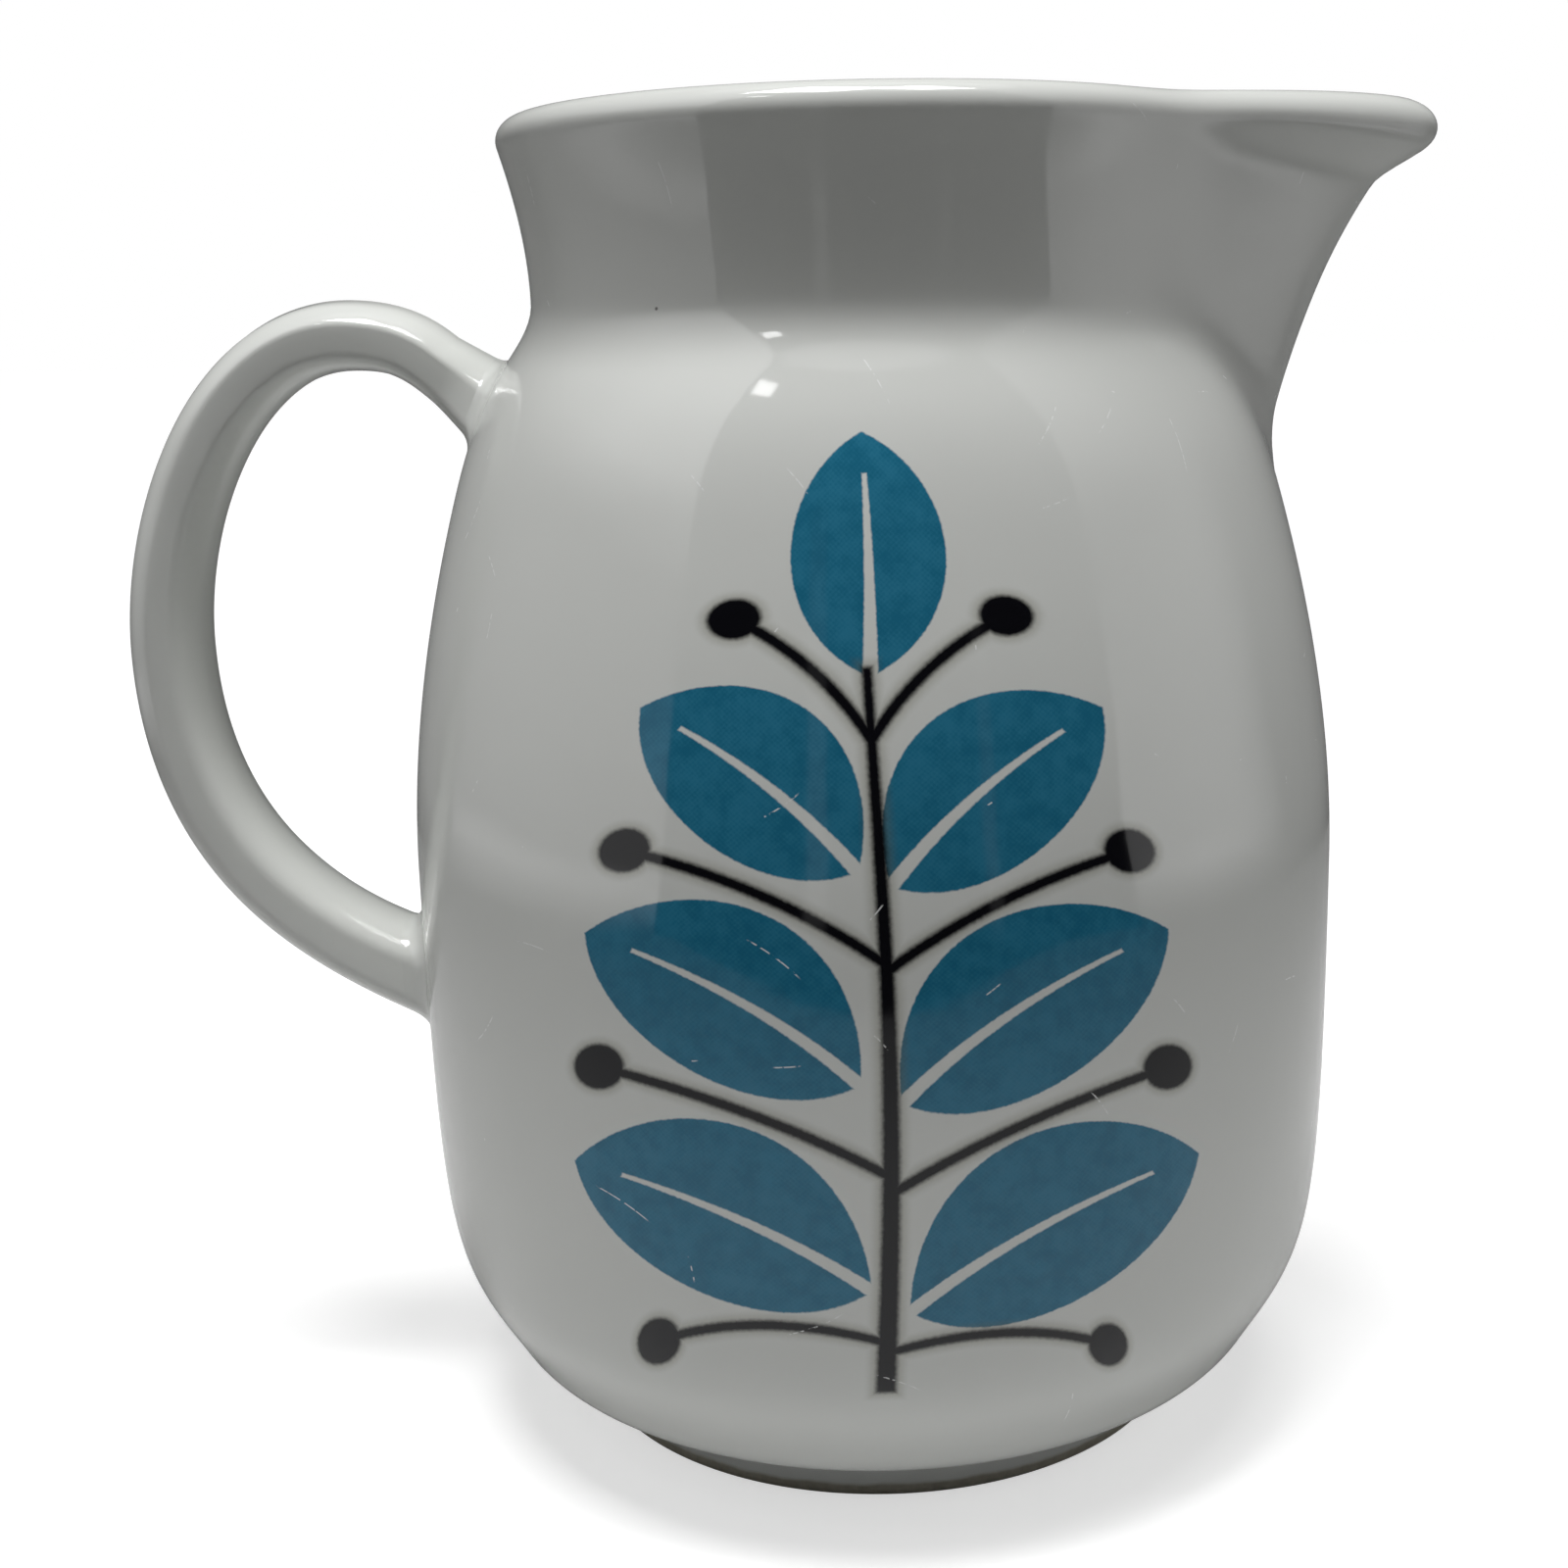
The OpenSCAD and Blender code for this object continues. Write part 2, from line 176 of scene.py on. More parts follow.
channel_stations = [
    (shoulder_z, front_root_r - wall, front_slopes[0]),
    (neck_z + wall * np.sin(lean[1]), front_neck_r - wall * np.cos(lean[1]), front_slopes[1]),
    (knuckle_z + wall * np.sin(lean[2]), front_knuckle_r - wall * np.cos(lean[2]), front_slopes[2]),
    (pour_end[1], pour_end[0], oval_slope(pour_inner, 180 + pour_back))]
beak_stations = [
    (shoulder_z, beak_degs[0], 0), (neck_z, beak_degs[1], neck_turn / (jug_height - neck_z)),
    (jug_height, beak_degs[2], top_turn / (jug_height - neck_z))]
heel_start = np.array([heel_r, heel_z])
heel_tangent = np.array([np.cos(np.radians(heel_deg)), np.sin(np.radians(heel_deg))])
heel = [heel_start, heel_start + heel_reach * heel_tangent,
        (belly_r, belly_z - heel_high * (belly_z - heel_z)), (belly_r, belly_z)]
floor_start = np.array([floor_flat * belly_r, floor_z])
floor_end = np.array([belly_r - wall, belly_z])
floor_line = [floor_start, floor_start + [floor_low * (floor_end[0] - floor_start[0]), 0],
              floor_end - [0, floor_high * (belly_z - floor_z)], floor_end]


def steps(a, b, count):
    """count even steps from a towards b, without b."""
    return a + (b - a) * np.arange(count) / count


def plain_rows(r, z):
    """Rows of the lower body, where no spout is drawn out: plain radius and height."""
    return np.stack([r, z, 0 * r, z, 0 * r, z], -1)


def drawn_rows(plain, front, flank, z, front_z, flank_z):
    """Rows of the upper body: radius and height of the plain wall, the spout's front, its flanks."""
    return np.stack([between_stations(plain, z), z, between_stations(front, front_z), front_z,
                     between_stations(flank, flank_z), flank_z], -1)


def over_edge(deg, outer_centre, outer, inner_centre, inner):
    """Points over a rounded edge: below 90 degrees, its crest, they lie on the outer oval, and from
    there on the inner one."""
    return np.where((deg < 90)[:, None], oval(outer_centre, outer, deg), oval(inner_centre, inner, deg))


def edge_rows(deg, front_deg, flank_deg):
    """Rows over the rolled rim, over the pouring edge at the spout's front and over its flanks."""
    return np.hstack([
        over_edge(deg, rim_centre, rim_outer, rim_centre, rim_inner),
        over_edge(front_deg, pour_centre, pour_outer, pour_centre, pour_inner),
        over_edge(flank_deg, flank_centre, flank_outer, pour_centre, pour_inner)])


ring_top, ring_back_r = np.array([foot_r + ring_top_out, ring_top_z]), foot_r - foot_w
turn_point = heel_start - heel_turn * heel_tangent
to_ring = (ring_top - turn_point) / np.linalg.norm(ring_top - turn_point)
turned_under = bezier(
    [heel_start, turn_point + heel_pull * (heel_start - turn_point),
     turn_point + heel_pull * heel_turn * to_ring, turn_point + heel_turn * to_ring],
    np.linspace(0, 1, 10)[1:])
under_cone = np.linspace(turned_under[-1], ring_top, 8)[1:-1]
ring_fillet = bezier(
    [ring_top, *((foot_r + out, z) for out, z in ring_pulls), (foot_r, foot_edge)],
    np.linspace(0, 1, 10))
edge_axes = (foot_edge, foot_edge)
ring_edge = oval((foot_r - foot_edge, foot_edge), edge_axes, np.linspace(0, -90, 7))[1:]
ring_back = oval((ring_back_r + foot_edge, foot_edge), edge_axes, np.linspace(-90, -180, 7))
ring_root = bezier([(ring_back_r, ring_root_z), (ring_back_r, foot_h), (ring_back_r, foot_h),
                    (ring_back_r - ring_root_w, foot_h)], np.linspace(0, 1, 6))
underside = np.stack([steps(ring_back_r - 2 * ring_root_w, hub_r, 9), np.full(9, foot_h)], -1)
floor_curve, heel_curve = bezier(floor_line, steps(0, 1, 40)), bezier(heel, np.linspace(1, 0, 52))
z_in, z_out = steps(belly_z, shoulder_z, 26), steps(shoulder_z, belly_z, 26)
up_wall, up_channel = steps(shoulder_z, rim_end[1], 38), steps(shoulder_z, pour_end[1], 38)
over_channel = steps(180 + pour_back, 90, 12)
inside = [
    plain_rows(steps(hub_r, floor_start[0], 8), np.full(8, floor_z)),
    plain_rows(*floor_curve.T),
    plain_rows(between_stations(inner_stations, z_in), z_in),
    drawn_rows(inner_stations, channel_stations, channel_stations, up_wall, up_channel, up_channel),
    edge_rows(steps(180 + rim_back, 90, 12), over_channel, over_channel)]
outside = [
    edge_rows(*(steps(past_crest_deg, end, 16) for end in (rim_from, pour_from, flank_from))),
    drawn_rows(outer_stations, front_stations, flank_stations,
               *(steps(start[1], shoulder_z, 46) for start in (rim_start, pour_start, flank_start))),
    plain_rows(between_stations(outer_stations, z_out), z_out),
    plain_rows(*heel_curve.T)]
under = [plain_rows(*part.T) for part in (
    turned_under, under_cone, ring_fillet, ring_edge, ring_back, ring_root, underside)]
body_rows = np.vstack(inside + outside + under)

# The columns stand closer together at the spout than at the handle.
column = np.arange(256) / 128 - 1
column_deg = 180 * (0.8 * column + 0.2 * column**3)
body_points = wall_point(*(body_rows[:, None, k] for k in range(6)), column_deg[None, :])
body_shell = surface("body_shell", body_points, poles=True)

# The print and the scratches lie on the outside only: those points carry a 1.
outer_face = np.zeros(len(body_rows), np.float32)
outer_face[sum(map(len, inside)):sum(map(len, inside + outside))] = 1
outer_face = np.append(np.repeat(outer_face, len(column_deg)), [0, 0]).astype(np.float32)
body_shell.data.attributes.new("outer_face", "FLOAT", "POINT").data.foreach_set("value", outer_face)


def place(tree, kind, feeds=None, **settings):
    """Adds a node with its own settings, and sets or links its inputs."""
    node = tree.nodes.new(kind)
    for key, value in settings.items():
        setattr(node, key, value)
    for key, value in (feeds or {}).items():
        if isinstance(value, bpy.types.NodeSocket):
            tree.links.new(value, node.inputs[key])
        else:
            node.inputs[key].default_value = value
    return node


def maths(tree, operation, *values):
    """One Math node on values or outputs."""
    return place(tree, "ShaderNodeMath", dict(enumerate(values)), operation=operation).outputs[0]


def ramp(tree, value, low, high, out_low=0.0, out_high=1.0):
    """A soft S-shaped step of value from low to high."""
    feeds = {"Value": value, "From Min": low, "From Max": high, "To Min": out_low, "To Max": out_high}
    return place(tree, "ShaderNodeMapRange", feeds, interpolation_type="SMOOTHSTEP").outputs[0]


def blend(tree, factor, a, b):
    """Colour a, mixed with colour b by factor."""
    return place(tree, "ShaderNodeMix", {0: factor, 6: a, 7: b}, data_type="RGBA").outputs[2]


def new_group(name, inputs, outputs):
    """An empty node group with named sockets, its input node and its output node."""
    tree = bpy.data.node_groups.new(name, "ShaderNodeTree")
    for socket, kind in inputs.items():
        tree.interface.new_socket(socket, in_out="INPUT", socket_type=kind)
    for socket, kind in outputs.items():
        tree.interface.new_socket(socket, in_out="OUTPUT", socket_type=kind)
    return tree, tree.nodes.new("NodeGroupInput").outputs, tree.nodes.new("NodeGroupOutput").inputs


def grouped(tree, group, feeds):
    """Places a node group and feeds it."""
    return place(tree, "ShaderNodeGroup", feeds, node_tree=group).outputs


def new_material(name):
    """A material with an empty node tree."""
    material = bpy.data.materials.new(name)
    material.use_nodes = True
    material.node_tree.nodes.clear()
    return material, material.node_tree


def glaze_over(tree, colour, gloss, height, skin_depth):
    """A clear gloss over a colour. Its skin ripples by the height times the depth in metres."""
    bump = place(tree, "ShaderNodeBump", {"Height": height, "Strength": 1.0, "Distance": skin_depth})
    shader = place(tree, "ShaderNodeBsdfPrincipled", {
        "Base Color": colour, "Roughness": gloss, "IOR": 1.46, "Normal": bump.outputs[0]})
    place(tree, "ShaderNodeOutputMaterial", {"Surface": shader.outputs[0]})


# What a clear glaze shows: a slow cloudy tone, a rippled skin, pinholes and a few iron specks.
glaze_skin, given, gives = new_group(
    "glaze_skin", {"Vector": "NodeSocketVector"},
    {"Tone": "NodeSocketFloat", "Height": "NodeSocketFloat", "Speck": "NodeSocketFloat"})


def noise(tree, vector, scale, detail=2.0, roughness=0.5):
    """Cloudy pattern, about 1 / scale metres from cloud to cloud."""
    feeds = {"Vector": vector, "Scale": scale, "Detail": detail, "Roughness": roughness}
    return place(tree, "ShaderNodeTexNoise", feeds).outputs[0]


def sparse_dots(tree, vector, scale, radius, share):
    """Soft round dots of a radius in metres, in a share of the cells of a pattern of that scale."""
    cells = place(tree, "ShaderNodeTexVoronoi", {"Vector": vector, "Scale": scale})
    picked = place(tree, "ShaderNodeSeparateColor", {"Color": cells.outputs["Color"]})
    shown = maths(tree, "LESS_THAN", picked.outputs[0], share)
    size = maths(tree, "MULTIPLY_ADD", picked.outputs[1], radius * scale * 0.8, radius * scale * 0.5)
    near = maths(tree, "DIVIDE", cells.outputs["Distance"], size)
    return maths(tree, "MULTIPLY", ramp(tree, near, 1.0, 0.4), shown)


tree, point = glaze_skin, given["Vector"]
slow_high, peel_high, grain_high, pit_high = 9.0, 1.1, 0.06, -2.6
slow, peel, grain = (noise(tree, point, scale) for scale in (38.0, 190.0, 900.0))
pits = sparse_dots(tree, point, 62.0, 0.0005, 0.16)
height = maths(tree, "MULTIPLY_ADD", slow, slow_high, maths(tree, "MULTIPLY", peel, peel_high))
height = maths(tree, "MULTIPLY_ADD", grain, grain_high, height)
height = maths(tree, "MULTIPLY_ADD", pits, pit_high, height)
tree.links.new(noise(tree, point, 22.0, 3.0), gives["Tone"])
tree.links.new(height, gives["Height"])
tree.links.new(sparse_dots(tree, point, 48.0, 0.00022, 0.22), gives["Speck"])

# Fine scratches of use on the unrolled wall: each cell of a pattern may hold one. It lies at an angle
# of its own, is a few millimetres long and a tenth of one wide, and is broken up along its length.
fine_scratches, given, gives = new_group(
    "fine_scratches", dict.fromkeys(("U", "V", "Cell", "Share"), "NodeSocketFloat"),
    {"Mask": "NodeSocketFloat"})
tree = fine_scratches
flat = place(tree, "ShaderNodeCombineXYZ", {0: given["U"], 1: given["V"]}).outputs[0]
per_mm = maths(tree, "DIVIDE", 1.0, given["Cell"])
cells = place(
    tree, "ShaderNodeTexVoronoi", {"Vector": flat, "Scale": per_mm}, voronoi_dimensions="2D").outputs
chance, tilt_share, long_share = place(
    tree, "ShaderNodeSeparateColor", {"Color": cells["Color"]}).outputs
off = place(tree, "ShaderNodeVectorMath", {0: flat, 1: cells["Position"]}, operation="SUBTRACT")
tilt = maths(tree, "MULTIPLY", tilt_share, 3.1)
turned = place(
    tree, "ShaderNodeVectorRotate", {"Vector": off.outputs[0], "Angle": tilt}, rotation_type="Z_AXIS")
along, across, _ = place(tree, "ShaderNodeSeparateXYZ", {"Vector": turned.outputs[0]}).outputs
bowed = maths(tree, "MULTIPLY_ADD", maths(tree, "MULTIPLY", along, along), 0.03, across)
line = ramp(tree, maths(tree, "ABSOLUTE", bowed), 0.11, 0.03)
reach = maths(tree, "MULTIPLY_ADD", maths(tree, "MULTIPLY", long_share, long_share), 3.2, 0.3)
ends = ramp(tree, maths(tree, "DIVIDE", maths(tree, "ABSOLUTE", along), reach), 1.0, 0.7)
broken = ramp(tree, noise(tree, flat, 1.6, 2.0), 0.42, 0.55)
mask = maths(tree, "MULTIPLY", maths(tree, "MULTIPLY", line, ends), broken)
mask = maths(tree, "MULTIPLY", mask, maths(tree, "LESS_THAN", chance, given["Share"]))
tree.links.new(mask, gives["Mask"])

# Shapes of the printed decoration, measured in millimetres on the unrolled belly. Both start at a
# base point, run off at an angle and bend sideways; each gives its distance from the outline.
shape_inputs = dict.fromkeys(
    ("U", "V", "Base U", "Base V", "Angle", "Half Length", "Bend"), "NodeSocketFloat")
rib_half, rib_taper, rib_share, stalk_half = 0.42, -0.28, 0.66, 0.62


def bent_frame(tree, given):
    """How far a point lies along a shape from its middle, and across it after the bend."""
    u = maths(tree, "SUBTRACT", given["U"], given["Base U"])
    v = maths(tree, "SUBTRACT", given["V"], given["Base V"])
    c, s = maths(tree, "COSINE", given["Angle"]), maths(tree, "SINE", given["Angle"])
    along = maths(tree, "ADD", maths(tree, "MULTIPLY", u, c), maths(tree, "MULTIPLY", v, s))
    along = maths(tree, "SUBTRACT", along, given["Half Length"])
    across = maths(tree, "SUBTRACT", maths(tree, "MULTIPLY", v, c), maths(tree, "MULTIPLY", u, s))
    half_squared = maths(tree, "MULTIPLY", given["Half Length"], given["Half Length"])
    bow = maths(tree, "SUBTRACT", half_squared, maths(tree, "MULTIPLY", along, along))
    return along, maths(tree, "MULTIPLY_ADD", bow, given["Bend"], across)


def length_of(tree, a, b):
    """Square root of a squared plus b squared."""
    squares = maths(tree, "MULTIPLY_ADD", a, a, maths(tree, "MULTIPLY", b, b))
    return maths(tree, "SQRT", squares)


printed_leaf, given, gives = new_group(
    "printed_leaf", {**shape_inputs, "Half Width": "NodeSocketFloat"}, {"Distance": "NodeSocketFloat"})
tree, half, wide = printed_leaf, given["Half Length"], given["Half Width"]
along, across = bent_frame(tree, given)
beside = maths(tree, "ABSOLUTE", across)
arc = maths(tree, "DIVIDE", length_of(tree, half, wide), wide)
arc = maths(tree, "MULTIPLY", length_of(tree, half, wide), arc)
arc = maths(tree, "MULTIPLY", arc, 0.5)
off_centre = maths(tree, "ADD", beside, maths(tree, "SUBTRACT", arc, wide))
outline = maths(tree, "SUBTRACT", length_of(tree, along, off_centre), arc)
rib_here = maths(tree, "MULTIPLY_ADD", maths(tree, "DIVIDE", along, half), rib_taper, rib_half)
past_rib = maths(tree, "SUBTRACT", along, maths(tree, "MULTIPLY", half, rib_share))
rib = maths(tree, "MAXIMUM", maths(tree, "SUBTRACT", beside, rib_here), past_rib)
outline = maths(tree, "MAXIMUM", outline, maths(tree, "MULTIPLY", rib, -1.0))
tree.links.new(outline, gives["Distance"])

printed_berry, given, gives = new_group(
    "printed_berry", {**shape_inputs, "Radius": "NodeSocketFloat"}, {"Distance": "NodeSocketFloat"})
tree = printed_berry
along, across = bent_frame(tree, given)
past_end = maths(tree, "SUBTRACT", maths(tree, "ABSOLUTE", along), given["Half Length"])
past_end = maths(tree, "MAXIMUM", past_end, 0.0)
stalk = maths(tree, "SUBTRACT", length_of(tree, past_end, across), stalk_half)
from_tip = maths(tree, "SUBTRACT", along, given["Half Length"])
berry = maths(tree, "SUBTRACT", length_of(tree, from_tip, across), given["Radius"])
tree.links.new(maths(tree, "MINIMUM", stalk, berry), gives["Distance"])

# Leaves: base, angle in degrees, half length, half width, bend. Berries: base, tip, bend, radius.
leaves = [
    (-1.0, 21.0, 160, 15.4, 9.6, 0.012), (2.4, 18.5, 22, 15.8, 9.8, -0.012),
    (-1.6, 43.0, 152, 14.5, 9.0, 0.012), (2.0, 41.0, 30, 14.7, 9.1, -0.012),
    (-1.4, 64.5, 143, 12.6, 7.9, 0.012), (1.4, 63.0, 38, 12.8, 8.0, -0.012),
    (0.0, 83.0, 91, 11.4, 7.4, 0.002)]
berries = [
    (0.5, 15.0, -22.0, 12.8, 0.022, 2.7), (0.6, 14.0, 22.0, 11.2, -0.022, 2.5),
    (0.6, 33.5, -26.4, 42.6, 0.010, 2.7), (0.9, 31.5, 27.6, 41.0, -0.010, 2.7),
    (0.6, 55.5, -22.8, 65.6, 0.012, 2.5), (0.8, 54.5, 23.4, 64.4, -0.012, 2.5),
    (0.0, 77.0, -12.6, 88.4, 0.02, 2.3), (0.0, 77.0, 12.8, 88.2, -0.02, 2.3)]

porcelain_dark, porcelain_light = (0.713, 0.727, 0.699, 1), (0.743, 0.755, 0.726, 1)
blue_dark, blue_light = (0.013, 0.153, 0.26, 1), (0.026, 0.2, 0.325, 1)
black_ink, black_bleed = (0.004, 0.004, 0.006, 1), (0.16, 0.15, 0.07, 1)
iron_speck, scratch_white = (0.05, 0.045, 0.04, 1), (0.86, 0.87, 0.86, 1)
# The unglazed foot's colour: bare clay, darkened and warmed as painted contact shade as well.
biscuit_and_contact_shade_dark, biscuit_and_contact_shade_light = (0.3, 0.28, 0.22, 1), (0.5, 0.47, 0.4, 1)
skin_depth, bare_and_shade_from, bare_and_shade_all = 0.000012, 0.0022, 0.0016
print_stretch, print_base = 1135.0, 12.5
stem_middle, stem_reach, sway_from, sway_mm = 46.5, 37.5, 8.0, 22

glazed_body, tree = new_material("glazed_and_printed_porcelain")
spot = place(tree, "ShaderNodeTexCoord").outputs["Object"]
x, y, z = place(tree, "ShaderNodeSeparateXYZ", {"Vector": spot}).outputs
skin = grouped(tree, glaze_skin, {"Vector": spot})

# The printed edges shake a little. Places are in millimetres round the belly and up it.
shake = maths(tree, "MULTIPLY_ADD", noise(tree, spot, 2600.0, 1.0), 0.16, -0.08)
around = maths(tree, "ARCTAN2", x, maths(tree, "MULTIPLY", y, -1.0))
round_mm = maths(tree, "MULTIPLY", around, belly_r * 1000)
up_mm = maths(tree, "MULTIPLY_ADD", z, print_stretch, -print_base)
blue_edge, black_edge = None, None
for u, v, deg, half, wide, bend in leaves:
    shape = grouped(tree, printed_leaf, {
        "U": round_mm, "V": up_mm, "Base U": u, "Base V": v, "Angle": float(np.radians(deg)),
        "Half Length": half, "Half Width": wide, "Bend": bend})[0]
    blue_edge = shape if blue_edge is None else maths(tree, "MINIMUM", blue_edge, shape)
for u, v, to_u, to_v, bend, radius in berries:
    shape = grouped(tree, printed_berry, {
        "U": round_mm, "V": up_mm, "Base U": u, "Base V": v,
        "Angle": float(np.arctan2(to_v - v, to_u - u)),
        "Half Length": float(np.hypot(to_u - u, to_v - v)) / 2, "Bend": bend, "Radius": radius})[0]
    black_edge = shape if black_edge is None else maths(tree, "MINIMUM", black_edge, shape)
swing = maths(tree, "MULTIPLY", maths(tree, "SUBTRACT", up_mm, sway_from), 1 / sway_mm)
swing = maths(tree, "SINE", swing)
beside_stem = maths(tree, "ABSOLUTE", maths(tree, "SUBTRACT", round_mm, swing))
stem_half = maths(tree, "MULTIPLY_ADD", up_mm, -0.0062, 1.05)
from_middle = maths(tree, "ABSOLUTE", maths(tree, "SUBTRACT", up_mm, stem_middle))
past_ends = maths(tree, "SUBTRACT", from_middle, stem_reach)
stem = maths(tree, "MAXIMUM", maths(tree, "SUBTRACT", beside_stem, stem_half), past_ends)
black_edge = maths(tree, "MINIMUM", black_edge, stem)
blue_edge, black_edge = maths(tree, "ADD", blue_edge, shake), maths(tree, "ADD", black_edge, shake)

on_outside = place(tree, "ShaderNodeAttribute", attribute_name="outer_face").outputs["Fac"]
blue = maths(tree, "MULTIPLY", ramp(tree, blue_edge, 0.12, -0.12), on_outside)
black = maths(tree, "MULTIPLY", ramp(tree, black_edge, 0.3, -0.35), on_outside)
halo = maths(tree, "MULTIPLY", ramp(tree, black_edge, 1.2, -0.2), on_outside)
threads = maths(tree, "MULTIPLY", maths(tree, "SINE", maths(tree, "MULTIPLY", round_mm, 12.0)),
                maths(tree, "SINE", maths(tree, "MULTIPLY", up_mm, 12.0)))
mottle = maths(tree, "MULTIPLY_ADD", threads, 0.07, noise(tree, spot, 420.0, 4.0, 0.7))

porcelain = blend(tree, skin["Tone"], porcelain_dark, porcelain_light)
blue_ink = blend(tree, ramp(tree, mottle, 0.3, 0.7), blue_dark, blue_light)
colour = blend(tree, blue, porcelain, blue_ink)
colour = blend(tree, maths(tree, "MULTIPLY", halo, 0.36), colour, black_bleed)
colour = blend(tree, black, colour, black_ink)
colour = blend(tree, maths(tree, "MULTIPLY", skin["Speck"], 0.75), colour, iron_speck)
scratch = grouped(tree, fine_scratches, {"U": round_mm, "V": up_mm, "Cell": 9.0, "Share": 0.3})[0]
scratch = maths(tree, "MULTIPLY", scratch, on_outside)
colour = blend(tree, maths(tree, "MULTIPLY", scratch, 0.8), colour, scratch_white)
# The lowest 2 mm of the foot are bare biscuit. Their dark, warm colour is also painted contact shade
# where the foot meets the table, and the bare clay is rougher.
bare_and_shaded_foot = maths(tree, "MULTIPLY_ADD", noise(tree, spot, 300.0), 0.0006, z)
bare_and_shaded_foot = ramp(tree, bare_and_shaded_foot, bare_and_shade_from, bare_and_shade_all)
foot_biscuit_and_shade = blend(tree, noise(tree, spot, 1400.0, 4.0), biscuit_and_contact_shade_dark, biscuit_and_contact_shade_light)
colour = blend(tree, bare_and_shaded_foot, colour, foot_biscuit_and_shade)
gloss = maths(tree, "MULTIPLY_ADD", skin["Tone"], 0.03, 0.045)
gloss = maths(tree, "MULTIPLY_ADD", scratch, 0.3, gloss)
gloss = maths(tree, "MAXIMUM", gloss, maths(tree, "MULTIPLY", bare_and_shaded_foot, 0.8))
glaze_over(tree, colour, gloss, skin["Height"], skin_depth)
body_shell.data.materials.append(glazed_body)
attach(body_shell, "root")
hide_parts("body")

# The handle: a solid porcelain strap with rounded edges, cast by itself and luted to the leather-hard
# body. It opens out at its two roots, and its ends run into the wall of the body.
handle_out, handle_rise = 0.0254, 0.0092
upper_root_z, lower_root_z, root_depth = 0.1037, 0.0443, 0.0024
handle_top_share, handle_mid_share = 0.445, 0.621
upper_root_deg, lower_root_deg = 149, 160
handle_thin, handle_thick, handle_w = 0.0062, 0.0089, 0.011
root_in, root_pull = 0.0358, 0.5
top_pull_in, top_pull_out, mid_pull_up, mid_pull_down = 0.54, 0.62, 0.43, 0.62
upper_flare, lower_flare, flare_run = 0.5, 0.12, 0.4
top_flare, top_run, top_power = 0.75, 0.5, 1.1
square_places, square_powers = [0, 0.3, 0.55, 0.8, 1], [8, 8, 3.8, 5, 7]
crown_out, crown_in = [0.6, 0.58, 0.45, 0.4, 0.4], [0.25, 0.25, 0.3, 0.42, 0.42]


def on_body(z):
    """Radius of the round body's outside at a height, from the heel to the neck."""
    heel_side = bezier(heel, np.linspace(0, 1, 400))
    return np.where(np.asarray(z) > belly_z, between_stations(outer_stations, z),
                    np.interp(z, heel_side[:, 1], heel_side[:, 0]))


def run_from(point, deg, length):
    """The point that lies a length away in a direction."""
    return np.array(point) + length * np.array([np.cos(np.radians(deg)), np.sin(np.radians(deg))])


upper_root = np.array([-root_in, upper_root_z])
lower_root = np.array([-(belly_r - root_depth), lower_root_z])
handle_mid = np.array([
    -(belly_r + handle_out), lower_root_z + handle_mid_share * (upper_root_z - lower_root_z)])
handle_top = np.array([
    upper_root[0] + handle_top_share * (handle_mid[0] - upper_root[0]), upper_root_z + handle_rise])
root_to_top = upper_root[0] - handle_top[0]
middle_lines = [
    [upper_root, run_from(upper_root, upper_root_deg, root_pull * root_to_top),
     handle_top + [top_pull_in * root_to_top, 0], handle_top],
    [handle_top, handle_top - [top_pull_out * (handle_top[0] - handle_mid[0]), 0],
     handle_mid + [0, mid_pull_up * (handle_top[1] - handle_mid[1])], handle_mid],
    [handle_mid, handle_mid - [0, mid_pull_down * (handle_mid[1] - lower_root_z)],
     run_from(lower_root, lower_root_deg, root_pull * (lower_root[0] - handle_mid[0])), lower_root]]


def handle_rings(k, t, points=72):
    """Rings square to middle line k at places t: rounded rectangles whose half thickness and half
    width follow a cosine and a sine raised to a power, squarer and opened out towards the two roots.
    The outer and the inner side rise to a crown: a share of the half thickness times the square of
    the place across is taken off. The top of the upper root opens out along a straighter line."""
    line, t = middle_lines[k], np.asarray(t, float)
    centre = bezier(line, t)
    ahead = bezier(line, t + 1e-4) - bezier(line, t - 1e-4)
    ahead /= np.linalg.norm(ahead, axis=1)[:, None]
    across = np.stack([-ahead[:, 1], ahead[:, 0]], -1)
    near_upper, near_lower = (np.maximum(0, 1 - away / flare_run)**2 for away in (t, 1 - t))
    open_out = 1 + upper_flare * near_upper * (k == 0) + lower_flare * near_lower * (k == 2)
    open_top = open_out
    if k == 0:
        open_top = 1 + top_flare * np.maximum(0, 1 - t / top_run)**top_power
    thick = (handle_thin + (handle_thick - handle_thin) * (k + t) / 3) / 2
    half_w = open_out * handle_w / 2
    a = np.linspace(0, 2 * np.pi, points, endpoint=False)
    power = np.interp((k + t) / 3, square_places, square_powers)[:, None]
    u = np.sign(np.cos(a)) * np.abs(np.cos(a))**(2 / power)
    v = np.sign(np.sin(a)) * np.abs(np.sin(a))**(2 / power)
    crown = [np.interp((k + t) / 3, square_places, share)[:, None] for share in (crown_in, crown_out)]
    u = u * (1 - np.where(u > 0, *crown) * v**2)
    half_t = thick[:, None] * np.where(u > 0, open_out[:, None], open_top[:, None])
    shift = across[:, None, :] * (u * half_t)[..., None]
    x, z = centre[:, None, 0] + shift[..., 0], centre[:, None, 1] + shift[..., 1]
    return np.stack([x, v * half_w[:, None], z], -1)


handle_loop = surface("handle_loop", np.vstack([
    handle_rings(0, steps(0.08, 1, 40)), handle_rings(1, steps(0, 1, 56)),
    handle_rings(2, np.linspace(0, 1, 70))]), poles=True)


